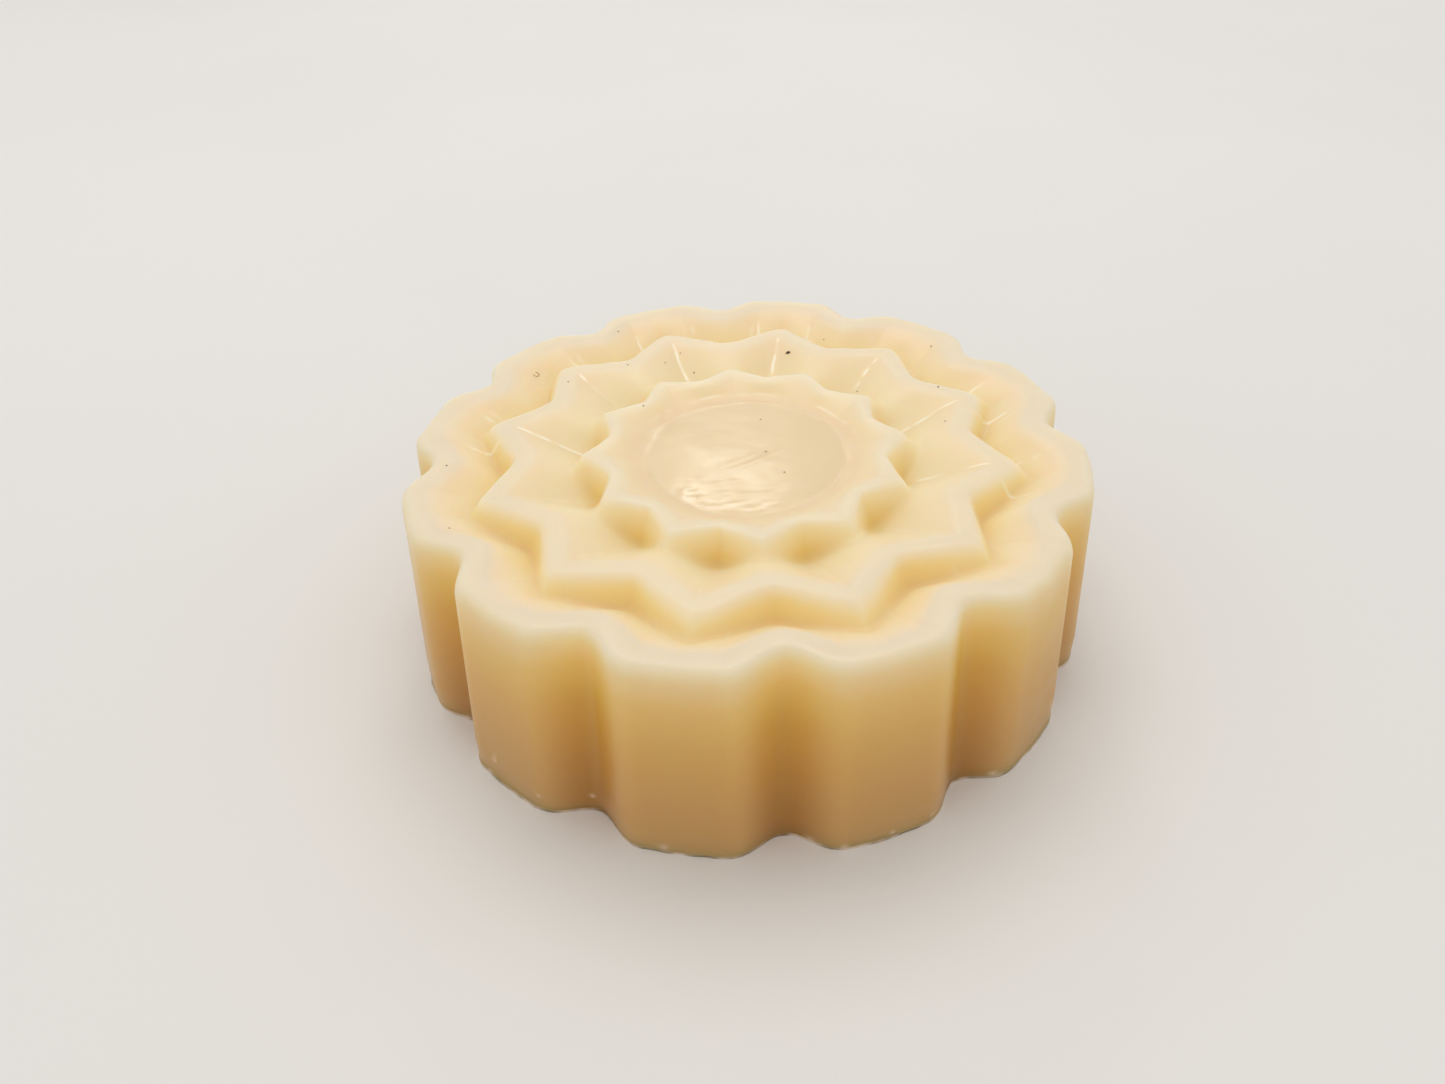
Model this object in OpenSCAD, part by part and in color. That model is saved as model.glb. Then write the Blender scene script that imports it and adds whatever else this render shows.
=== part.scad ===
// Shaving soap puck: one poured cake of hard soap with a scalloped side wall.
// Its top is stepped like a flower: a rounded rim, a star ridge with a pointed
// tip behind every lobe, a smaller star ridge whose tips fall between the lobes,
// and a shallow round disc in the middle. A few dark specks and one short curled
// fibre are caught in the soap.
// Origin: the centre of the flat underside. +Z is up and a lobe points along +Y.

/* [Puck] */
// Number of lobes round the puck
lobes = 12; // [9:1:15]
// Height from the underside to the top of the rim
puck_h = 23.8; // [16:0.1:32]
// Radius to the middle of a lobe, at the underside
base_lobe_r = 39.6; // [39:0.1:42]
// Radius to the bottom of a flute, at the underside
base_flute_r = 36.8; // [35.8:0.1:38]
// Share of a lobe's half width that runs level across its face
lobe_flat = 0.38; // [0.1:0.01:0.7]
// Height of the thin foot line that the mould leaves round the underside
foot_line_h = 0.5; // [0.2:0.1:1.5]
// How far the foot line stands out from the wall
foot_line_out = 0.2; // [0:0.05:0.5]

/* [Rim] */
// Radius to the middle of a lobe, at the top of the wall
rim_lobe_r = 38.1; // [37.4:0.1:38.8]
// Radius to the bottom of a flute, at the top of the wall
rim_flute_r = 35.2; // [34.4:0.1:35.8]
// Radius of the rounded shoulder between the wall and the rim
rim_round = 1.1; // [0.6:0.1:1.2]
// Radius to the rim's inner edge behind a lobe
rim_inner_lobe_r = 34.4; // [33.6:0.1:34.8]
// Radius to the rim's inner edge behind a flute
rim_inner_flute_r = 31.9; // [31.1:0.1:32.2]
// How far the rim's inner edge falls behind a lobe
rim_lobe_fall = 0.8; // [0.2:0.1:1.2]
// How far the rim's inner edge falls behind a flute
rim_flute_fall = 0.4; // [0.2:0.1:1.2]
// How far the two star ridges stay below the rim
ridge_fall = 0.5; // [0:0.1:1]

/* [Star ridge] */
// Radius to a tip, on the ridge's outer edge
star_tip_r = 29.9; // [29.5:0.1:30.3]
// Radius to a notch, on the ridge's outer edge
star_notch_r = 25.3; // [24.9:0.1:26.2]
// Width of the ridge's rounded crest
star_crest_w = 2.0; // [1:0.1:2.3]
// Width of the wall's slope, from its foot up to the crest
star_wall_w = 1.3; // [0.6:0.1:1.6]
// Depth of the channel at a tip
star_tip_depth = 2.3; // [1.4:0.1:3.4]
// Depth of the channel at a notch
star_notch_depth = 3.5; // [2.4:0.1:5]
// Rounding of the notches
star_notch_blend = 1.6; // [0.4:0.1:3]

/* [Inner star ridge] */
// Radius to a tip, on the ridge's outer edge
inner_tip_r = 18.3; // [17.9:0.1:18.8]
// Radius to a notch, on the ridge's outer edge
inner_notch_r = 15.9; // [15.6:0.1:16.8]
// Width of the ridge's rounded crest
inner_crest_w = 1.6; // [0.8:0.1:1.8]
// Width of the wall's slope at a notch, where the wall is deep
inner_notch_wall_w = 1.7; // [0.6:0.1:1.9]
// Width of the wall's slope at a tip, where the cup is shallow
inner_tip_wall_w = 1.2; // [0.8:0.1:2.4]
// Fall of the cup inside the star ridge, in millimetres for each millimetre inwards
cup_slope = 0.43; // [0.25:0.01:0.6]

/* [Centre disc] */
// Radius of the disc
disc_r = 12.3; // [10:0.1:12.8]
// Depth of the disc's edge below the star ridges
disc_depth = 1.6; // [1:0.1:2.2]
// Depth of the fine groove round the disc, below the disc's edge
groove_depth = 0.15; // [0:0.05:0.5]
// Rise of the disc's middle above its edge
disc_crown = 0.1; // [0:0.05:0.4]

/* [Specks] */
// Radius of a large speck
large_speck_r = 0.26; // [0.15:0.01:0.5]
// Radius of a small speck
small_speck_r = 0.13; // [0.08:0.01:0.3]
// Thickness of the curled fibre
fibre_d = 0.15; // [0.1:0.01:0.3]
// Radius of the fibre's curl
fibre_curl_r = 0.4; // [0.3:0.05:0.8]

/* [Hidden] */

soap_colour = "#efdcb8";
speck_colour = "#33281c";
fibre_colour = "#8a6f45";

half = 180 / lobes;         // angle from the middle of a lobe to the middle of a flute
steps = 10;                 // facets across that half lobe
around = 2 * lobes * steps; // points in each ring
first_lobe = 90;            // bearing of the lobe that points along +Y
corner_shape = 2.6;         // 1 is a sharp corner between lobe and flute, 3 a soft one
inner_lobe_flat = 0.4;      // flat share of a lobe along the rim's inner edge
inner_corner_shape = 1.2;   // the sharper corner along that edge
scallop_shape = 1.6;        // how round the inner star's scallops are
ridge_h = puck_h - ridge_fall;
crest_drop = 0.35;          // how far a crest's rounded edges fall
shoulder_drop = 0.3;        // height lost halfway round the rim's shoulder, as a share of its radius
rim_crest_w = 0.9;          // width of the rim's inner rounding
groove_w = 0.8;             // width of the groove round the disc
disc_edge_w = 0.5;          // width of the disc's rounded edge
speck_sunk = 0.6;           // how deep a speck sits, as a share of its radius

// Each speck is [radius from the middle, bearing], and it sits in the surface there.
large_specks = [[31.6, 122], [24.4, 86]];
small_specks = [
    [30.6, 79], [33.6, 130], [25.4, 119], [22.0, 117], [24.0, 125], [24.6, 137],
    [26.0, 135], [15.2, 153], [26.8, 155], [24.0, 22], [26.6, 37], [21.4, 58],
    [8.0, 86], [2.4, 20], [5.8, 328], [34.2, 216], [33.4, 197], [34.2, 54]
];
fibre_place = [33.0, 154];
fibre_turns = [-150, 120];  // bearings at the two ends of the fibre's curl
fibre_steps = 9;
fibre_sides = 8;

function mix(a, b, t) = a + (b - a) * t;

// 0 at the middle of a lobe, 1 at the middle of a flute
function flute_share(bearing) =
    let (turn = (bearing - first_lobe) / (2 * half))
    2 * abs(turn - round(turn));

// Outline of the wall and the rim: a flat lobe, then a soft corner into a round flute
function lobe_r(lobe, flute, s, flat = lobe_flat, shape = corner_shape) =
    let (t = max(0, (s - flat) / (1 - flat)))
    mix(lobe, flute, pow(sin(90 * t), shape));

// One straight side of a star, from its tip to its notch, in polar form
function side_r(tip, notch, a) =
    let (x = notch * cos(half), y = notch * sin(half))
    tip * y / (y * cos(a) + (tip - x) * sin(a));

// Outline of the star: two straight sides, blended where they meet in the notch
function star_r(tip, notch, s) =
    let (
        own = side_r(tip, notch, s * half),
        other = side_r(tip, notch, (2 - s) * half),
        near = max(0, star_notch_blend - abs(own - other))
    )
    max(own, other) + near * near / (4 * star_notch_blend);

// Outline of the inner star: round scallops that meet in points behind the flutes
function scallop_r(tip, notch, s) = mix(notch, tip, pow(s, scallop_shape));

// The profile from the foot of the wall to the middle, as [radius, height] pairs.
// It starts below the underside, which is cut flat afterwards.
function profile(s) =
    let (
        wall_r = lobe_r(rim_lobe_r, rim_flute_r, s),
        base_r = lobe_r(base_lobe_r, base_flute_r, s),
        rim_inner_r = lobe_r(
            rim_inner_lobe_r, rim_inner_flute_r, s, inner_lobe_flat, inner_corner_shape
        ),
        star_outer_r = star_r(star_tip_r, star_notch_r, s),
        star_inner_r = star_outer_r - star_crest_w,
        star_depth = mix(star_tip_depth, star_notch_depth, s),
        inner_outer_r = scallop_r(inner_tip_r, inner_notch_r, s),
        inner_foot_r = inner_outer_r + mix(inner_notch_wall_w, inner_tip_wall_w, s),
        inner_depth = cup_slope * (star_inner_r - inner_foot_r),
        groove_r = disc_r + groove_w
    )
    [
        [base_r + foot_line_out, -foot_line_h],
        [base_r - foot_line_out, foot_line_h],
        [wall_r, puck_h - rim_round],
        [wall_r - shoulder_drop * rim_round, puck_h - shoulder_drop * rim_round],
        [wall_r - rim_round, puck_h],
        [rim_inner_r + rim_crest_w, puck_h],
        [rim_inner_r, puck_h - mix(rim_lobe_fall, rim_flute_fall, s)],
        [star_outer_r + star_wall_w, ridge_h - star_depth],
        [star_outer_r, ridge_h - crest_drop],
        [star_outer_r - crest_drop, ridge_h],
        [star_inner_r, ridge_h],
        [inner_foot_r, ridge_h - inner_depth],
        [inner_outer_r, ridge_h - crest_drop],
        [inner_outer_r - crest_drop, ridge_h],
        [inner_outer_r - inner_crest_w, ridge_h],
        [groove_r, ridge_h - disc_depth - groove_depth],
        [disc_r, ridge_h - disc_depth],
        [disc_r - disc_edge_w, ridge_h - disc_depth + disc_crown / 2]
    ];

ring_count = len(profile(0));

function polar(r, bearing, z) = [r * cos(bearing), r * sin(bearing), z];

// Height of the soap's surface at a radius and a bearing
function surface_z(r, bearing) =
    let (top = [for (p = profile(flute_share(bearing))) if (p[1] > puck_h / 2) p])
    r < top[len(top) - 1][0] ? top[len(top) - 1][1] : lookup(r, top);

// The cake as it is poured, with stock below the underside
module poured_cake() {
    columns = [
        for (i = [0 : around - 1])
            let (bearing = first_lobe + i * 360 / around)
            [for (p = profile(flute_share(bearing))) polar(p[0], bearing, p[1])]
    ];
    points = concat(
        [for (ring = [0 : ring_count - 1]) for (column = columns) column[ring]],
        [[0, 0, ridge_h - disc_depth + disc_crown], [0, 0, -foot_line_h]]
    );
    middle = around * ring_count;
    bottom = middle + 1;
    innermost = around * (ring_count - 1);
    skin = [
        for (ring = [0 : ring_count - 2])
            for (i = [0 : around - 1])
                let (
                    a = ring * around + i,
                    b = ring * around + (i + 1) % around
                )
                each [[a, a + around, b], [b, a + around, b + around]]
    ];
    ends = [
        for (i = [0 : around - 1])
            each [
                [innermost + i, middle, innermost + (i + 1) % around],
                [i, (i + 1) % around, bottom]
            ]
    ];
    polyhedron(points, concat(skin, ends));
}

module soap_body() {
    stock_w = 3 * base_lobe_r;
    color(soap_colour)
        difference() {
            poured_cake();
            translate([-stock_w / 2, -stock_w / 2, -stock_w])
                cube(stock_w);
            dark_specks();
            curled_fibre();
        }
}

module speck(place, r) {
    translate(polar(place[0], place[1], surface_z(place[0], place[1]) - speck_sunk * r))
        sphere(r, $fn = 24);
}

module dark_specks() {
    color(speck_colour) {
        for (place = large_specks) speck(place, large_speck_r);
        for (place = small_specks) speck(place, small_speck_r);
    }
}

// A short curl of fibre that lies on the slope inside the rim
module curled_fibre() {
    spot = polar(fibre_place[0], fibre_place[1], 0);
    path = [
        for (i = [0 : fibre_steps])
            let (
                turn = mix(fibre_turns[0], fibre_turns[1], i / fibre_steps),
                at = spot + polar(fibre_curl_r, turn, 0),
                r = norm([at[0], at[1]]),
                bearing = atan2(at[1], at[0])
            )
            [at[0], at[1], surface_z(r, bearing), turn]
    ];
    color(fibre_colour)
        polyhedron(
            [
                for (p = path)
                    for (side = [0 : fibre_sides - 1])
                        let (a = side * 360 / fibre_sides)
                        [p[0], p[1], p[2]]
                            + polar(cos(a) * fibre_d / 2, p[3], sin(a) * fibre_d / 2)
            ],
            concat(
                [[for (side = [fibre_sides - 1 : -1 : 0]) side]],
                [
                    for (i = [0 : fibre_steps - 1])
                        for (side = [0 : fibre_sides - 1])
                            let (
                                a = i * fibre_sides + side,
                                b = i * fibre_sides + (side + 1) % fibre_sides
                            )
                            each [[a, b, a + fibre_sides], [b, b + fibre_sides, a + fibre_sides]]
                ],
                [[for (side = [0 : fibre_sides - 1]) fibre_steps * fibre_sides + side]]
            )
        );
}

soap_body();
dark_specks();
curled_fibre();
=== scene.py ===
"""Looks of the shaving soap puck: the poured cake in detail, its specks and fibre, studio and camera."""

import math

import bmesh
import bpy
import numpy as np
from mathutils import Matrix, Vector, noise
from mathutils.bvhtree import BVHTree


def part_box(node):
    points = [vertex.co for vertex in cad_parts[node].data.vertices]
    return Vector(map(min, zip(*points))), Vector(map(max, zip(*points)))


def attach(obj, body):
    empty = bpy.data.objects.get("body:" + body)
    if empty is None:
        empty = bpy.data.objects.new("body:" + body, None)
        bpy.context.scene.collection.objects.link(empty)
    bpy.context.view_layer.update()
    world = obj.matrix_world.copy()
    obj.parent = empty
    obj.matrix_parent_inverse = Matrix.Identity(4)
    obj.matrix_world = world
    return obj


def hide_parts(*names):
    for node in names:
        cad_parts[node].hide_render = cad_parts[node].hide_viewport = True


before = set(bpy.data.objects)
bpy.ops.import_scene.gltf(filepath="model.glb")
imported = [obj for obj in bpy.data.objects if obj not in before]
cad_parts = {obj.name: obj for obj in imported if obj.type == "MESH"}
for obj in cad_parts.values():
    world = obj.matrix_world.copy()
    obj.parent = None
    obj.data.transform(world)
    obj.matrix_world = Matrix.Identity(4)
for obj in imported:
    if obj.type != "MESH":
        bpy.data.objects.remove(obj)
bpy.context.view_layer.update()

# ---------------------------------------------------------------- sizes, in metres

MM = 0.001
_, SOAP_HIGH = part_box("soap_body")
HEIGHT = SOAP_HIGH.z
BASE_LOBE_R = SOAP_HIGH.y

LOBES = 12
HALF = math.pi / LOBES  # angle from the middle of a lobe to the middle of a flute
FIRST_LOBE = math.pi / 2  # bearing of the lobe that points along +Y
LOBE_FLAT, CORNER_SHAPE = 0.38, 2.6  # level share of a lobe's half width; 1 is a sharp corner, 3 a soft one
CREASE, CREASE_SHAPE = 0.40, 1.2  # the same along the rim's inner edge, where a crease runs down each side

BASE_FLUTE_R = BASE_LOBE_R - 2.8 * MM
WALL_LOBE_R = BASE_LOBE_R - 1.5 * MM
WALL_FLUTE_R = BASE_LOBE_R - 4.4 * MM
RIM_LOBE_R = BASE_LOBE_R - 5.0 * MM
RIM_FLUTE_R = BASE_LOBE_R - 7.5 * MM
RIM_LOBE_FALL, RIM_FLUTE_FALL = 0.8 * MM, 0.3 * MM  # of the rim's inner edge below its top
FOOT_LINE_H = 0.35 * MM
FOOT_LINE_OUT = 0.25 * MM
LOW_WALL_H = 3.2 * MM  # the small nicks and bubbles are below this
UNDERSIDE_IN = 6 * MM  # from the foot line in to the first ring of the flat underside

RIDGE_Z = HEIGHT - 0.5 * MM  # both star ridges stay below the rim
STAR_TIP_R, STAR_NOTCH_R = 29.9 * MM, 25.3 * MM
STAR_TIP_CREST_W, STAR_NOTCH_CREST_W, STAR_WALL_W = 2.4 * MM, 1.8 * MM, 1.7 * MM
STAR_TIP_DEPTH, STAR_NOTCH_DEPTH = 2.3 * MM, 3.5 * MM
STAR_NOTCH_BLEND = 1.6 * MM

INNER_TIP_R, INNER_NOTCH_R = 18.3 * MM, 15.9 * MM
INNER_TIP_CREST_W, INNER_NOTCH_CREST_W = 2.0 * MM, 1.0 * MM
INNER_TIP_WALL_W, INNER_NOTCH_WALL_W = 1.3 * MM, 1.7 * MM
INNER_TIP_DEPTH, INNER_NOTCH_DEPTH = 1.9 * MM, 4.2 * MM

DISC_R, DISC_DEPTH, DISC_CROWN = 12.3 * MM, 1.6 * MM, 0.1 * MM
DISC_FILLET_R = DISC_R + 0.4 * MM  # the middle of the soft fillet round the disc
DISC_MARK_R = DISC_R + 1.0 * MM  # of the line behind the disc: a low ridge with a painted highlight
MIDDLE_R = 0.4 * MM  # of the last ring, round the middle point

PER_HALF, QUICK_PER_HALF = 36, 12  # columns of the soap mesh across half a lobe

TIP_SOFT, CREASE_SOFT, CRISP_SOFT = 0.032, 0.022, 0.008  # rounding of the stars' points, in radians

# unevenness of a hand-poured cake
WALL_SWAY, WALL_FINE = 0.09 * MM, 0.03 * MM
TOP_LIFT, TOP_FINE, TOP_WEAR = 0.06 * MM, 0.018 * MM, 0.05 * MM
DISC_RIPPLE, FRONT_RIPPLE = 0.005 * MM, 0.012 * MM
MARK_HEIGHT = 0.07 * MM
FOOT_PULLED_IN, FOOT_RAGGED = 0.16 * MM, 0.10 * MM
NICKS, NICK_OUT = 46, 0.13 * MM
MARK_W, OUTER_MARK_W, DISC_MARK_W = 0.17 * MM, 0.15 * MM, 0.14 * MM


# ---------------------------------------------------------------- small helpers


def mix(a, b, t):
    return a + (b - a) * t


def smoothstep(low, high, x):
    t = np.clip((x - low) / (high - low), 0, 1)
    return t * t * (3 - 2 * t)


def waves(x, y, seed, count, low, high):
    """A smooth random field: count sine waves with wavelengths from low to high, about -1 to 1."""
    rng = np.random.default_rng(seed)
    total = np.zeros_like(x)
    for _ in range(count):
        bearing, phase = rng.uniform(0, 2 * math.pi, 2)
        number = 2 * math.pi / rng.uniform(low, high)
        total += np.sin((x * math.cos(bearing) + y * math.sin(bearing)) * number + phase)
    return total / math.sqrt(count)


# ---------------------------------------------------------------- outlines of the soap


def soft_abs(x, width):
    """The distance from zero, with its point rounded off over width."""
    return np.sqrt(x * x + width * width) - width


def lobe_r(lobe, flute, s, flat=LOBE_FLAT, shape=CORNER_SHAPE):
    """Wall and rim: a flat lobe, a corner, then a round flute."""
    t = np.clip((s - flat) / (1 - flat), 0, 1)
    return mix(lobe, flute, np.sin(t * math.pi / 2) ** shape)


def side_r(tip, notch, a):
    """One straight side of a star, from its tip to its notch, in polar form."""
    x, y = notch * math.cos(HALF), notch * math.sin(HALF)
    return tip * y / (y * np.cos(a) + (tip - x) * np.sin(a))


def star_r(tip, notch, a, tip_round):
    """Outline of the star at an angle from its tip, with the tip and the notch rounded."""
    own = side_r(tip, notch, soft_abs(a, tip_round))
    other = side_r(tip, notch, 2 * HALF - a)
    near = np.maximum(0, STAR_NOTCH_BLEND - np.abs(own - other))
    return np.maximum(own, other) + near * near / (4 * STAR_NOTCH_BLEND)


def dip(s, shallow, deep):
    """A depth that changes softly along a channel, from shallow at s = 0 to deep at s = 1."""
    return mix(shallow, deep, (1 - np.cos(math.pi * s)) / 2)


def scallop_r(tip, notch, a, tip_round):
    """Outline of the inner star: scallops that meet in points behind the flutes."""
    from_tip = soft_abs(HALF - a, tip_round) / HALF
    return mix(notch, tip, np.clip(1 - from_tip, 0, 1) ** 1.6)


# ---------------------------------------------------------------- the profile


def corner_rows(before, corner, after, radius, rows):
    """Rows of points that round off a corner of the profile; each point is an array over all columns."""
    to_before, to_after = before - corner, after - corner
    reach_before = np.linalg.norm(to_before, axis=1)
    reach_after = np.linalg.norm(to_after, axis=1)
    reach = np.minimum(radius, 0.48 * np.minimum(reach_before, reach_after))
    start = corner + to_before * (reach / reach_before)[:, None]
    end = corner + to_after * (reach / reach_after)[:, None]
    for i in range(rows):
        t = i / (rows - 1)
        yield (1 - t) ** 2 * start + 2 * t * (1 - t) * corner + t * t * end


def soap_profile(a):
    """Control corners of the profile at angles a from the middle of a lobe, from the underside to the middle.

    Each is (radius, height, reach of its rounding, rows in the rounding, rows to the next corner)."""
    s = a / HALF
    base = lobe_r(BASE_LOBE_R, BASE_FLUTE_R, s)
    wall = lobe_r(WALL_LOBE_R, WALL_FLUTE_R, s)
    star = star_r(STAR_TIP_R, STAR_NOTCH_R, a, TIP_SOFT)
    star_edge = star_r(STAR_TIP_R - STAR_TIP_CREST_W, STAR_NOTCH_R - STAR_NOTCH_CREST_W, a, CRISP_SOFT)
    inner = scallop_r(INNER_TIP_R, INNER_NOTCH_R, a, TIP_SOFT)
    edge_tip, edge_notch = INNER_TIP_R - INNER_TIP_CREST_W, INNER_NOTCH_R - INNER_NOTCH_CREST_W
    inner_edge = scallop_r(edge_tip, edge_notch, a, CRISP_SOFT)
    star_foot = star_r(STAR_TIP_R, STAR_NOTCH_R, a, CREASE_SOFT) + STAR_WALL_W
    inner_foot = scallop_r(INNER_TIP_R, INNER_NOTCH_R, a, CREASE_SOFT)
    inner_foot += mix(INNER_NOTCH_WALL_W, INNER_TIP_WALL_W, s)
    star_depth = dip(s, STAR_TIP_DEPTH, STAR_NOTCH_DEPTH)
    inner_depth = dip(1 - s, INNER_TIP_DEPTH, INNER_NOTCH_DEPTH)
    low_wall = mix(base, wall, LOW_WALL_H / HEIGHT)
    rim = lobe_r(RIM_LOBE_R, RIM_FLUTE_R, s, CREASE, CREASE_SHAPE)
    disc_z = RIDGE_Z - DISC_DEPTH
    one = np.ones_like(a)
    return [
        (base - UNDERSIDE_IN, 0 * one, 0, 1, 4),
        (base, 0 * one, 0.12 * MM, 4, 0),
        (base - 0.06 * MM, FOOT_LINE_H * one, 0.2 * MM, 4, 0),
        (base - FOOT_LINE_OUT, (FOOT_LINE_H + 0.25 * MM) * one, 0.3 * MM, 5, 12),
        (low_wall, LOW_WALL_H * one, 0, 1, 15),
        (wall, HEIGHT * one, 1.7 * MM, 12, 1),
        (rim, HEIGHT - mix(RIM_LOBE_FALL, RIM_FLUTE_FALL, s), 1.2 * MM, 9, 9),
        (star_foot, RIDGE_Z - star_depth, 0.9 * MM, 8, 3),
        (star, (RIDGE_Z - 0.05 * MM) * one, 1.6 * MM, 10, 0),
        (star_edge, (RIDGE_Z - 0.12 * MM) * one, 0.8 * MM, 8, 14),
        (inner_foot, RIDGE_Z - inner_depth, 1.2 * MM, 9, 3),
        (inner, (RIDGE_Z - 0.05 * MM) * one, 1.0 * MM, 10, 0),
        (inner_edge, (RIDGE_Z - 0.15 * MM) * one, 0.7 * MM, 8, 7),
        (DISC_FILLET_R * one, disc_z * one, 1.5 * MM, 14, 44),
        (MIDDLE_R * one, (disc_z + DISC_CROWN) * one, 0, 1, 0),
    ]


def profile_rows(a):
    """Every row of the surface as an array of (radius, height) over the columns."""
    corners = soap_profile(a)
    points = [np.stack([c[0], c[1]], 1) for c in corners]
    rows = []
    for i, (_, _, reach, rounding, gap) in enumerate(corners):
        if rounding == 1:
            rows.append(points[i])
        else:
            rows += list(corner_rows(points[i - 1], points[i], points[i + 1], reach, rounding))
        if gap and i + 1 < len(corners):
            following = corners[i + 1]
            if following[3] == 1:
                end = points[i + 1]
            else:
                end = next(corner_rows(points[i], points[i + 1], points[i + 2], following[2], 2))
            start = rows[-1]
            rows += [mix(start, end, k / (gap + 1)) for k in range(1, gap + 1)]
    return rows


def column_angles(per_half):
    """Angles across half a lobe, closer together at the tips, the creases and the notches."""
    fine = np.linspace(0, 1, 2001)
    density = 0.35 + 2.2 * np.exp(-((fine / 0.07) ** 2)) + 2.2 * np.exp(-(((fine - 1) / 0.07) ** 2))
    density += 1.6 * np.exp(-(((fine - CREASE) / 0.06) ** 2))
    total = np.concatenate([[0], np.cumsum((density[1:] + density[:-1]) / 2)])
    return np.interp(np.linspace(0, total[-1], per_half + 1), total, fine) * HALF


def surface_grid(per_half):
    """(x, y, z) arrays of the whole soap surface, rows by columns, before its hand-made unevenness."""
    half_angles = column_angles(per_half)
    from_lobe = np.concatenate([half_angles[:-1], half_angles[::-1][:-1]])
    rows = np.array(profile_rows(from_lobe))
    within = np.concatenate([half_angles[:-1], 2 * HALF - half_angles[::-1][:-1]])
    bearing = np.concatenate([FIRST_LOBE + 2 * HALF * k + within for k in range(LOBES)])
    radius = np.tile(rows[:, :, 0], (1, LOBES))
    z = np.tile(rows[:, :, 1], (1, LOBES))
    return radius * np.cos(bearing), radius * np.sin(bearing), z


# ---------------------------------------------------------------- unevenness of a hand-poured cake


def uneven(x, y, z):
    """Moves the surface a little: wavy walls, dents on the crests, ripples on the disc, a ragged foot."""
    r = np.hypot(x, y)
    bearing = np.arctan2(y, x)
    up = smoothstep(0.0, 1.5 * MM, z)

    sway = waves(x, y, 3, 14, 9 * MM, 34 * MM)
    lift = waves(x, y, 5, 16, 6 * MM, 22 * MM)
    fine = waves(x, y, 8, 22, 2.2 * MM, 6 * MM)
    high = smoothstep(HEIGHT - 6 * MM, HEIGHT - 2 * MM, z)
    on_disc = 1 - smoothstep(DISC_R - 1.2 * MM, DISC_R - 0.1 * MM, r)
    out = WALL_SWAY * sway * up + WALL_FINE * fine * high
    dz = (TOP_LIFT * lift + TOP_FINE * fine) * (1 - 0.9 * on_disc) * high - TOP_WEAR * high
    dz += DISC_RIPPLE * waves(x * 0.75, y * 1.35, 21, 26, 2.6 * MM, 7.5 * MM) * on_disc
    front = np.exp(-(((x + 1 * MM) / (7 * MM)) ** 2) - (((y + 8.0 * MM) / (3.4 * MM)) ** 2))
    dz += FRONT_RIPPLE * waves(x * 0.7, y * 1.2, 34, 30, 1.1 * MM, 3.0 * MM) * front * on_disc
    dz += smear(x, y) * on_disc
    dz += MARK_HEIGHT * crease_marks(x, y)

    ragged = waves(np.cos(bearing), np.sin(bearing), 55, 40, 0.05, 0.4)
    foot = 1 - smoothstep(0.5 * FOOT_LINE_H, FOOT_LINE_H + 0.25 * MM, z)
    outside = smoothstep(BASE_LOBE_R - 9 * MM, BASE_LOBE_R - 6 * MM, r)
    out += foot * outside * (FOOT_RAGGED * np.clip(ragged, -1.2, 1.1) - FOOT_PULLED_IN)
    out += NICK_OUT * nicks(bearing, r, z)

    scale = (r + out) / np.maximum(r, 1e-9)
    scale = np.where(r > 0.6 * MM, scale, 1)
    return x * scale, y * scale, np.maximum(z + dz, 0)


def nicks(bearing, r, z):
    """Small bubbles and torn bits low on the wall, 0 to 1."""
    rng = np.random.default_rng(77)
    total = np.zeros_like(r)
    on_wall = smoothstep(BASE_FLUTE_R - 4 * MM, BASE_FLUTE_R - 3 * MM, r) * (z < LOW_WALL_H)
    for _ in range(NICKS):
        place, height = rng.uniform(-math.pi, math.pi), rng.uniform(0.3, 2.4) ** 1.3 * MM
        size = rng.uniform(0.22, 0.42) * MM
        along = r * np.sin(bearing - place)
        near = np.exp(-((along / size) ** 2) - ((z - height) / size) ** 2)
        total += near * (np.cos(bearing - place) > 0)
    return np.clip(total, 0, 1) * on_wall


def crease_marks(x, y):
    """Fine broken lines from the mould, 0 to 1: down each crease and behind the disc, faded to a fifth in
    front, where they are not lit into glints.
    """
    r = np.hypot(x, y)
    turn = (np.arctan2(y, x) - FIRST_LOBE) / (2 * HALF)
    from_lobe = (turn - np.round(turn)) * 2 * HALF
    broken = smoothstep(-0.6, 0.8, waves(x, y, 13, 18, 1.3 * MM, 8 * MM))
    wander = 0.10 * MM * waves(x, y, 29, 12, 2.5 * MM, 9 * MM)
    inner_part = smoothstep(INNER_NOTCH_R + 2.2 * MM, INNER_NOTCH_R + 3.6 * MM, r)
    inner_part *= 1 - smoothstep(STAR_TIP_R - 3.2 * MM, STAR_TIP_R - 2.4 * MM, r)
    star_line = np.exp(-(((r * np.sin(from_lobe) + wander) / MARK_W) ** 2)) * inner_part
    outer_part = smoothstep(STAR_NOTCH_R + 2.6 * MM, STAR_NOTCH_R + 3.6 * MM, r)
    outer_part *= 1 - smoothstep(RIM_LOBE_R - 2.6 * MM, RIM_LOBE_R - 1.2 * MM, r)
    from_corner = np.abs(from_lobe) - CREASE * HALF
    across = r * np.sin(from_corner) + wander
    outer_line = 0.7 * np.exp(-((across / MARK_W) ** 2))
    outer_line += 0.35 * np.exp(-(((across - MM) / OUTER_MARK_W) ** 2))
    # The line behind the disc is kept to the back half, where it is lit; as colour it is a painted highlight.
    disc_line = 0.5 * np.exp(-(((r - DISC_MARK_R) / DISC_MARK_W) ** 2))
    disc_line *= smoothstep(2 * MM, 9 * MM, y)
    # The marks fade to a fifth towards the front, where they are not lit into glints; as colour they are
    # painted highlights.
    glint_fade_to_front = mix(0.2, 1, smoothstep(-14 * MM, 0, y))
    return (star_line + outer_line * outer_part + disc_line) * broken * glint_fade_to_front


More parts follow.
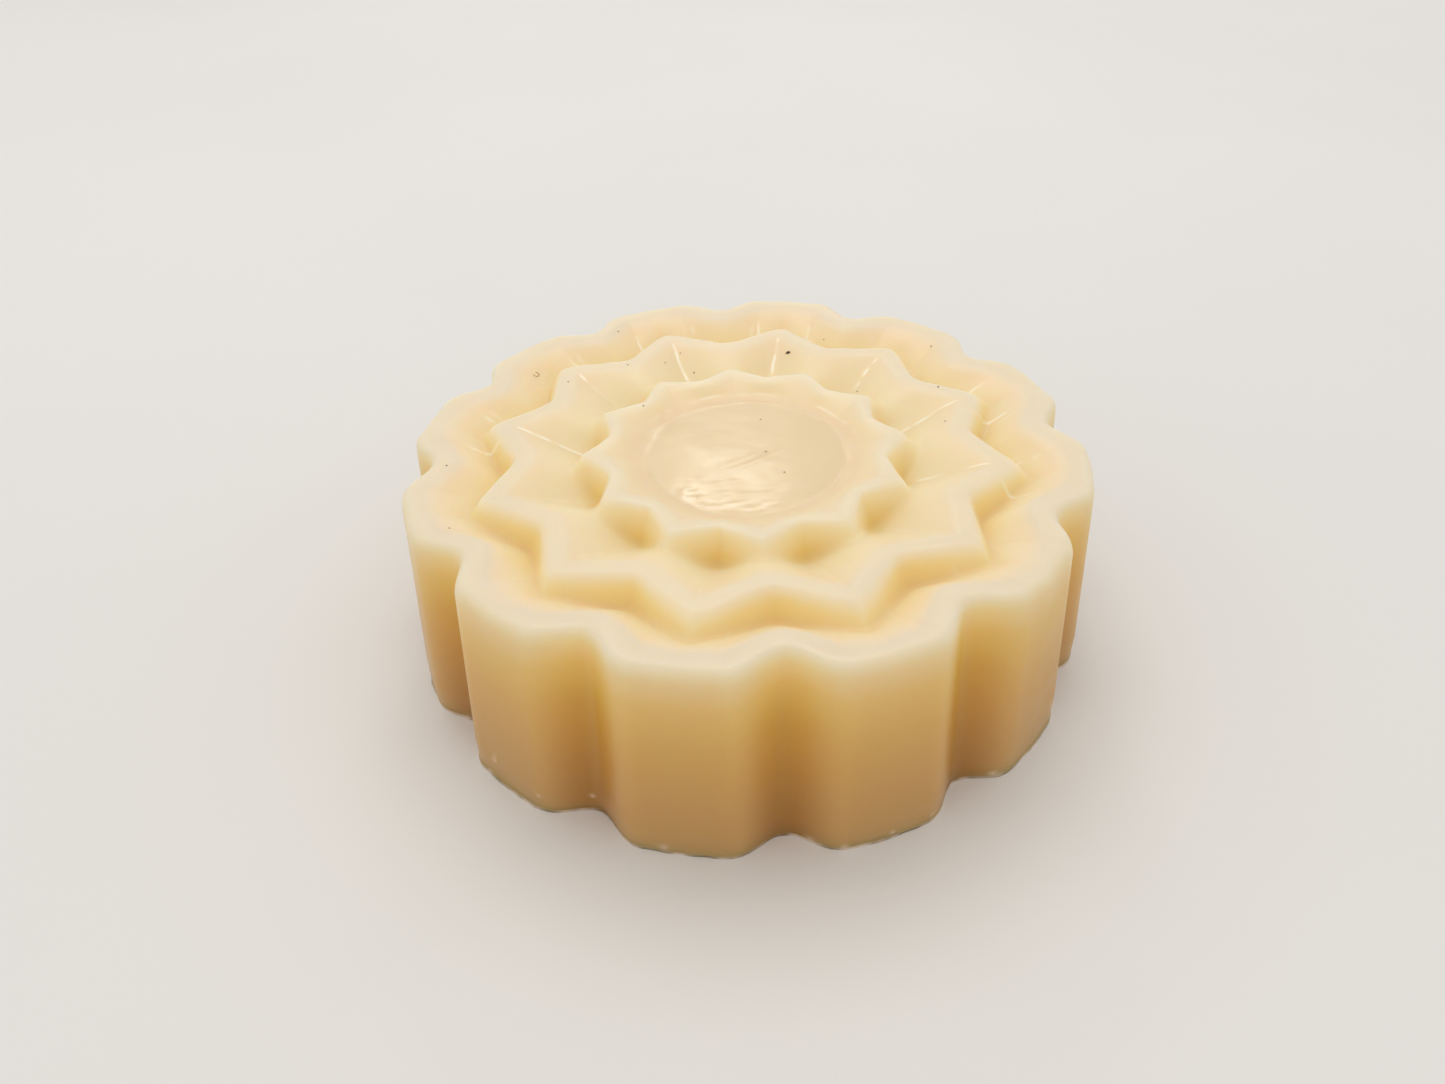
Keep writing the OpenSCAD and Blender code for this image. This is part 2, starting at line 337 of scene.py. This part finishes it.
def smear(x, y):
    """A low curved ridge where something brushed across the soft disc, with a hollow beside it."""
    along = (x + y * 0.9) / (5.5 * MM)
    across = (y - x * 0.9 + 1.2 * MM - 9 * x * x) / (0.75 * MM)
    fade = np.exp(-((along - 0.1) ** 2))
    return (0.03 * MM * np.exp(-(across**2)) - 0.025 * MM * np.exp(-((across + 1.8) ** 2))) * fade


# ---------------------------------------------------------------- the soap mesh


def soap_mesh(per_half):
    x, y, z = uneven(*surface_grid(per_half))
    rows, columns = x.shape
    points = np.stack([x, y, z], 2).reshape(-1, 3)
    middle = [[0, 0, z[-1].mean()], [0, 0, 0]]
    points = np.concatenate([points, middle])
    ring, place = np.meshgrid(np.arange(rows - 1), np.arange(columns), indexing="ij")
    after = (place + 1) % columns
    quads = np.stack(
        [
            ring * columns + place,
            ring * columns + after,
            (ring + 1) * columns + after,
            (ring + 1) * columns + place,
        ],
        2,
    ).reshape(-1, 4)
    top, bottom = rows * columns, rows * columns + 1
    last = (rows - 1) * columns
    faces = quads.tolist()
    faces += [[last + i, last + (i + 1) % columns, top] for i in range(columns)]
    faces += [[(i + 1) % columns, i, bottom] for i in range(columns)]
    mesh = bpy.data.meshes.new("soap_puck")
    mesh.from_pydata(points.tolist(), [], faces)
    mesh.polygons.foreach_set("use_smooth", [True] * len(mesh.polygons))
    mesh.update()
    return mesh


def tone_attributes(mesh):
    """Where each point lies, for the material: on the wall, in a flute, near a ridge top and so on; the
    material paints shade and highlights by these.
    """
    co = np.zeros(len(mesh.vertices) * 3)
    mesh.vertices.foreach_get("co", co)
    x, y, z = co.reshape(-1, 3).T
    r = np.hypot(x, y)
    turn = (np.arctan2(y, x) - FIRST_LOBE) / (2 * HALF)
    s = 2 * np.abs(turn - np.round(turn))
    wall_r = lobe_r(WALL_LOBE_R, WALL_FLUTE_R, s)
    wall = smoothstep(-2.4 * MM, -0.4 * MM, r - wall_r) * (1 - smoothstep(HEIGHT - 0.9 * MM, HEIGHT, z))
    star = star_r(STAR_TIP_R, STAR_NOTCH_R, s * HALF, 0.01)
    inner = scallop_r(INNER_TIP_R, INNER_NOTCH_R, s * HALF, 0.01)
    # Painted shade: the pockets beside the star walls and inside the inner star get a deeper gold, for the
    # light that bounces and soaks through between their walls.
    from_star = r - star - 0.7 * MM
    star_reach = np.where(from_star > 0, 2.4, 1.0) * MM
    star_pocket = np.exp(-((from_star / star_reach) ** 2)) * (0.45 + 0.35 * s)
    star_pocket *= smoothstep(0.1 * MM, 2.0 * MM, RIDGE_Z - z)
    inner_pocket = np.exp(-(((r - inner - 1.3 * MM) / (1.4 * MM)) ** 2)) * (1 - 0.75 * s)
    inner_pocket *= smoothstep(0.5 * MM, 3.8 * MM, RIDGE_Z - z)
    off_disc = smoothstep(DISC_R - 1.5 * MM, DISC_R + 2.5 * MM, r)
    broken = smoothstep(-1.2, 0.8, waves(x, y, 91, 20, 0.8 * MM, 7 * MM))
    tones = {
        "wall": wall,
        "depth": np.clip((HEIGHT - z) / HEIGHT, 0, 1),
        "flute": smoothstep(0.5, 0.92, s),
        "painted_pocket_shade": np.clip((1 - wall) * (star_pocket + 1.15 * inner_pocket), 0, 1),
        # Painted shade: the open ridge tops are made darker and greyer to offset the extra light they get.
        "crest": off_disc * np.exp(-np.maximum(RIDGE_Z - z, 0) / (0.7 * MM)),
        # The mould lines above half height, as the mask for their painted highlights and glow.
        "crease": crease_marks(x, y) * (z > HEIGHT / 2),
        "disc": 1 - off_disc,
        "foot": (1 - smoothstep(0.2 * MM, 0.5 * MM, z)) * broken + 0.6 * nicks(np.arctan2(y, x), r, z),
    }
    for name, value in tones.items():
        attribute = mesh.attributes.new(name, "FLOAT", "POINT")
        attribute.data.foreach_set("value", value.astype(np.float32))


# ---------------------------------------------------------------- materials


class Nodes:
    """A node tree with short ways to add and join nodes."""

    def __init__(self, name):
        self.material = bpy.data.materials.new(name)
        self.material.use_nodes = True
        self.tree = self.material.node_tree
        self.shader = self.tree.nodes["Principled BSDF"]
        self.place = self.add("ShaderNodeTexCoord").outputs["Object"]

    def add(self, kind, **settings):
        node = self.tree.nodes.new(kind)
        for key, value in settings.items():
            setattr(node, key, value)
        return node

    def join(self, source, target):
        self.tree.links.new(source, target)

    def set(self, **values):
        for key, value in values.items():
            self.shader.inputs[key.replace("_", " ")].default_value = value

    def attribute(self, name):
        return self.add("ShaderNodeAttribute", attribute_name=name).outputs["Fac"]

    def noise(self, scale, detail=3.0, roughness=0.5, distortion=0.0):
        node = self.add("ShaderNodeTexNoise")
        self.join(self.place, node.inputs["Vector"])
        node.inputs["Scale"].default_value = scale
        node.inputs["Detail"].default_value = detail
        node.inputs["Roughness"].default_value = roughness
        node.inputs["Distortion"].default_value = distortion
        return node.outputs["Fac"]

    def ramp(self, value, low, high, to_low=0.0, to_high=1.0):
        node = self.add("ShaderNodeMapRange")
        node.interpolation_type = "SMOOTHSTEP"
        self.join(value, node.inputs["Value"])
        for key, number in zip(("From Min", "From Max", "To Min", "To Max"), (low, high, to_low, to_high)):
            node.inputs[key].default_value = number
        return node.outputs["Result"]

    def math(self, operation, a, b):
        node = self.add("ShaderNodeMath", operation=operation)
        for socket, value in zip(node.inputs, (a, b)):
            if isinstance(value, (int, float)):
                socket.default_value = value
            else:
                self.join(value, socket)
        return node.outputs["Value"]

    def gradient(self, value, *stops):
        """A colour that runs through stops of (place, colour) as value goes from 0 to 1."""
        node = self.add("ShaderNodeValToRGB")
        self.join(value, node.inputs["Fac"])
        node.color_ramp.interpolation = "B_SPLINE"
        marks = node.color_ramp.elements
        while len(marks) < len(stops):
            marks.new(1.0)
        for mark, (place, colour) in zip(marks, stops):
            mark.position, mark.color = place, (*colour, 1)
        return node.outputs["Color"]

    def blend(self, factor, a, b):
        """Mixes two colours; a and b are a colour or an output."""
        node = self.add("ShaderNodeMix", data_type="RGBA")
        colours = [i for i in node.inputs if i.type == "RGBA"]
        self.join(factor, node.inputs["Factor"])
        for socket, value in zip(colours, (a, b)):
            if isinstance(value, tuple):
                socket.default_value = (*value, 1)
            else:
                self.join(value, socket)
        return next(o for o in node.outputs if o.type == "RGBA")

    def bumps(self, *layers):
        """Stacks bump layers, each (height output, strength, depth in metres)."""
        normal = None
        for height, strength, depth in layers:
            node = self.add("ShaderNodeBump")
            node.inputs["Strength"].default_value = strength
            node.inputs["Distance"].default_value = depth
            self.join(height, node.inputs["Height"])
            if normal:
                self.join(normal, node.inputs["Normal"])
            normal = node.outputs["Normal"]
        self.join(normal, self.shader.inputs["Normal"])


def soap_material():
    n = Nodes("poured_soap")
    cloudy = n.ramp(n.noise(90, 4, 0.55, 0.4), 0.3, 0.7)
    colour = n.blend(cloudy, (0.985, 0.79, 0.50), (0.98, 0.77, 0.475))
    # Painted shade: deeper gold in the pockets.
    colour = n.blend(n.attribute("painted_pocket_shade"), colour, (1.0, 0.745, 0.285))
    # Painted shade on the ridge tops, to offset the extra light they get.
    colour = n.blend(n.attribute("crest"), colour, (0.81, 0.70, 0.53))
    # The disc is a darker tan: partly its own tone, partly painted shade that offsets the extra light on the
    # open disc.
    colour = n.blend(n.attribute("disc"), colour, (0.85, 0.68, 0.43))
    # Painted shade on the walls: darker and more amber towards the bottom and deeper still in the flutes,
    # standing in for light that falls from above and soaks down through the soap.
    lobe = n.gradient(
        n.attribute("depth"),
        (0.02, (0.80, 0.68, 0.50)),
        (0.07, (0.82, 0.66, 0.37)),
        (0.20, (0.80, 0.55, 0.16)),
        (0.42, (0.70, 0.41, 0.115)),
        (0.70, (0.60, 0.34, 0.105)),
        (1.00, (0.52, 0.31, 0.115)),
    )
    flute = n.gradient(
        n.attribute("depth"),
        (0.02, (0.80, 0.685, 0.50)),
        (0.06, (0.88, 0.72, 0.38)),
        (0.16, (0.87, 0.63, 0.145)),
        (0.35, (0.74, 0.39, 0.045)),
        (0.65, (0.57, 0.265, 0.04)),
        (1.00, (0.41, 0.19, 0.047)),
    )
    side = n.blend(n.attribute("flute"), lobe, flute)
    colour = n.blend(n.attribute("wall"), colour, side)
    colour = n.blend(n.attribute("foot"), colour, (0.86, 0.64, 0.47))
    # Painted highlight: the mould lines are painted pale, as glints of light on them.
    colour = n.blend(n.attribute("crease"), colour, (1.0, 0.88, 0.73))
    n.join(colour, n.shader.inputs["Base Color"])
    smudges = n.noise(170, 2, 0.5)
    rough = n.ramp(smudges, 0.3, 0.75, 0.30, 0.42)
    glossy = n.math("POWER", n.attribute("disc"), 5.0)
    rough = n.math("SUBTRACT", rough, n.math("MULTIPLY", glossy, 0.17))
    n.join(rough, n.shader.inputs["Roughness"])
    # Painted glint: the mould lines also glow faintly, though they are no lamp.
    glint = n.math("MULTIPLY", n.attribute("crease"), 0.10)
    n.join(glint, n.shader.inputs["Emission Strength"])
    marks = n.math("MAXIMUM", n.attribute("crease"), n.attribute("foot"))
    n.join(n.ramp(marks, 0.0, 1.0, 1.0, 0.3), n.shader.inputs["Subsurface Weight"])
    n.set(Subsurface_Scale=0.005, IOR=1.46, Emission_Color=(1.0, 0.85, 0.68, 1))
    n.shader.inputs["Subsurface Radius"].default_value = (1.0, 0.8, 0.55)
    n.bumps(
        (n.noise(700, 4, 0.6), 0.25, 0.00006),
        (n.noise(3200, 3, 0.6), 0.2, 0.00002),
    )
    return n.material


def grain_material():
    n = Nodes("speck_grain")
    colour = n.blend(n.ramp(n.noise(5200, 3), 0.35, 0.7), (0.035, 0.026, 0.018), (0.13, 0.085, 0.045))
    colour = n.blend(n.attribute("faint"), colour, (0.46, 0.31, 0.16))
    n.join(colour, n.shader.inputs["Base Color"])
    n.join(n.ramp(n.noise(3000, 2), 0.3, 0.7, 0.5, 0.8), n.shader.inputs["Roughness"])
    n.bumps((n.noise(9000, 3), 0.6, 0.00004))
    return n.material


def fibre_material():
    n = Nodes("plant_fibre")
    colour = n.blend(n.ramp(n.noise(2600, 3), 0.35, 0.7), (0.42, 0.28, 0.13), (0.66, 0.48, 0.26))
    n.join(colour, n.shader.inputs["Base Color"])
    n.join(n.ramp(n.noise(4000, 2), 0.3, 0.7, 0.4, 0.7), n.shader.inputs["Roughness"])
    n.bumps((n.noise(8000, 3), 0.5, 0.00003))
    return n.material


def floor_material():
    n = Nodes("studio_floor")
    colour = n.blend(n.ramp(n.noise(6, 3), 0.3, 0.7), (0.80, 0.79, 0.77), (0.82, 0.81, 0.79))
    n.join(colour, n.shader.inputs["Base Color"])
    n.join(n.ramp(n.noise(40, 2), 0.3, 0.7, 0.6, 0.7), n.shader.inputs["Roughness"])
    return n.material


# ---------------------------------------------------------------- specks and fibre


def islands(obj):
    """Centre and size of each separate solid in a CAD node's mesh."""
    bm = bmesh.new()
    bm.from_mesh(obj.data)
    bmesh.ops.remove_doubles(bm, verts=bm.verts, dist=1e-6)
    left, found = set(bm.verts), []
    while left:
        group, edge = set(), {left.pop()}
        while edge:
            group |= edge
            edge = {e.other_vert(v) for v in edge for e in v.link_edges} - group
        left -= group
        co = np.array([v.co for v in group])
        low, high = co.min(0), co.max(0)
        found.append((Vector((low + high) / 2), float((high - low).max())))
    bm.free()
    return sorted(found, key=lambda item: tuple(round(c, 5) for c in item[0]))


def top_of(tree, x, y):
    """The soap's surface above a point, and its normal."""
    place, normal, _, _ = tree.ray_cast(Vector((x, y, 2 * HEIGHT)), Vector((0, 0, -1)))
    return place, normal


def speck_grains(tree):
    """Irregular dark grains, each sunk in the soap's surface where the CAD model has a speck."""
    rng = np.random.default_rng(11)
    bm = bmesh.new()
    faint = bm.verts.layers.float.new("faint")
    grains = islands(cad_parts["dark_specks"])
    largest = max(size for _, size in grains)
    for centre, size in grains:
        pale = rng.uniform(0.15, 0.85) if size < 0.8 * largest else 0
        place, normal = top_of(tree, centre.x, centre.y)
        stretch = Vector((rng.uniform(0.8, 1.45), rng.uniform(0.6, 0.95), rng.uniform(0.45, 0.7)))
        turn = normal.to_track_quat("Z", "Y").to_matrix() @ Matrix.Rotation(rng.uniform(0, math.tau), 3, "Z")
        made = bmesh.ops.create_icosphere(bm, subdivisions=3, radius=size / 2)["verts"]
        offset = Vector(rng.uniform(0, 50, 3))
        for v in made:
            direction = v.co.normalized()
            lumps = 0.30 * noise.noise(direction * 1.6 + offset)
            lumps += 0.10 * noise.noise(direction * 4.5 + offset)
            local = v.co * (1 + lumps)
            local = Vector([c * k for c, k in zip(local, stretch)])
            v.co = place + turn @ local - normal * size * 0.08
            v[faint] = pale
    mesh = bpy.data.meshes.new("speck_grains")
    bm.to_mesh(mesh)
    bm.free()
    mesh.polygons.foreach_set("use_smooth", [True] * len(mesh.polygons))
    return mesh


def fibre_tube(tree):
    """A short curled fibre that lies on the slope, thick in the middle and thin at its ends."""
    low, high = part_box("curled_fibre")
    middle = (low + high) / 2
    curl = (high.x - low.x) * 0.42
    steps, sides, thick = 40, 10, 0.06 * MM
    path = []
    for i in range(steps + 1):
        t = i / steps
        angle = math.radians(-150 + 285 * t)
        r = curl * (1.15 - 0.5 * t)
        x, y = middle.x + r * math.cos(angle), middle.y + r * math.sin(angle) * 1.1
        place, normal = top_of(tree, x, y)
        path.append((place + normal * thick * (0.2 + 0.9 * math.sin(math.pi * t)), normal))
    bm = bmesh.new()
    rings = []
    for i, (place, normal) in enumerate(path):
        forward = (path[min(i + 1, steps)][0] - path[max(i - 1, 0)][0]).normalized()
        side = forward.cross(normal).normalized()
        over = side.cross(forward)
        width = thick * (0.25 + 0.75 * math.sin(math.pi * i / steps) ** 0.6)
        rings.append(
            [
                bm.verts.new(place + (side * math.cos(b) + over * math.sin(b)) * width)
                for b in (math.tau * k / sides for k in range(sides))
            ]
        )
    for a, b in zip(rings, rings[1:]):
        for k in range(sides):
            bm.faces.new((a[k], b[k], b[(k + 1) % sides], a[(k + 1) % sides]))
    bm.faces.new(rings[0])
    bm.faces.new(rings[-1][::-1])
    bmesh.ops.recalc_face_normals(bm, faces=bm.faces)
    mesh = bpy.data.meshes.new("fibre_curl")
    bm.to_mesh(mesh)
    bm.free()
    mesh.polygons.foreach_set("use_smooth", [True] * len(mesh.polygons))
    return mesh


def place_piece(name, mesh, material, node):
    piece = bpy.data.objects.new(name, mesh)
    bpy.context.scene.collection.objects.link(piece)
    mesh.materials.append(material)
    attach(piece, "root")
    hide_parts(node)
    return piece


# ---------------------------------------------------------------- studio and camera

FLOOR_W = 3.0
CAMERA_PLACE = (0.01773, -0.10385, 0.08841)
CAMERA_TURN = (-11.27, 36.93, -1.72)  # to the right, down, and a roll about the view, in degrees
LENS, SENSOR_W = 27.08, 36

def make_floor():
    bm = bmesh.new()
    bmesh.ops.create_grid(bm, x_segments=24, y_segments=24, size=FLOOR_W / 2)
    mesh = bpy.data.meshes.new("studio_floor")
    bm.to_mesh(mesh)
    bm.free()
    floor = bpy.data.objects.new("studio_floor", mesh)
    bpy.context.scene.collection.objects.link(floor)
    mesh.materials.append(floor_material())


def area_light(name, azimuth, elevation, distance, size, power, colour):
    """A soft box that looks at the puck from a bearing (clockwise from +Y) and a height angle."""
    a, e = math.radians(azimuth), math.radians(elevation)
    back = Vector((math.sin(a) * math.cos(e), math.cos(a) * math.cos(e), math.sin(e)))
    data = bpy.data.lights.new(name, "AREA")
    data.shape = "RECTANGLE"
    data.size, data.size_y = size
    data.energy, data.color = power, colour
    light = bpy.data.objects.new(name, data)
    bpy.context.scene.collection.objects.link(light)
    light.location = back * distance + Vector((0, 0, HEIGHT))
    light.rotation_mode = "QUATERNION"
    light.rotation_quaternion = back.to_track_quat("Z", "Y")


def make_lights():
    area_light("back_window", -11.3, 34.6, 0.75, (0.09, 0.028), 0.10, (1.0, 0.96, 0.90))
    area_light("overhead", -18, 66, 0.8, (0.6, 0.45), 1.5, (1.0, 0.98, 0.95))
    area_light("side_fill", -100, 30, 0.9, (0.6, 0.5), 0.13, (1.0, 0.84, 0.55))
    world = bpy.data.worlds.new("studio")
    bpy.context.scene.world = world
    world.use_nodes = True
    sky = world.node_tree.nodes["Background"]
    sky.inputs["Color"].default_value = (1.0, 0.985, 0.96, 1)
    sky.inputs["Strength"].default_value = 0.75


def make_camera():
    """The viewpoint: in front of the puck, above it and a little to its right."""
    yaw, pitch, roll = (math.radians(v) for v in CAMERA_TURN)
    ahead = Vector((math.sin(yaw) * math.cos(pitch), math.cos(yaw) * math.cos(pitch), -math.sin(pitch)))
    right = Vector((math.cos(yaw), -math.sin(yaw), 0))
    up = right.cross(ahead)
    right, up = (
        right * math.cos(roll) + up * math.sin(roll),
        up * math.cos(roll) - right * math.sin(roll),
    )
    data = bpy.data.cameras.new("camera")
    data.lens, data.sensor_width = LENS, SENSOR_W
    data.clip_start, data.clip_end = 0.005, 20
    camera = bpy.data.objects.new("camera", data)
    bpy.context.scene.collection.objects.link(camera)
    turn = Matrix((right, up, -ahead)).transposed()
    camera.matrix_world = Matrix.Translation(CAMERA_PLACE) @ turn.to_4x4()
    bpy.context.scene.camera = camera


# ---------------------------------------------------------------- build


def build():
    make_camera()
    make_lights()
    make_floor()
    soap = soap_mesh(PER_HALF)
    tone_attributes(soap)
    tree = BVHTree.FromPolygons([v.co for v in soap.vertices], [p.vertices for p in soap.polygons])
    place_piece("soap_puck", soap, soap_material(), "soap_body")
    place_piece("speck_grains", speck_grains(tree), grain_material(), "dark_specks")
    place_piece("fibre_curl", fibre_tube(tree), fibre_material(), "curled_fibre")
    bpy.context.scene.view_settings.view_transform = "Standard"


build()
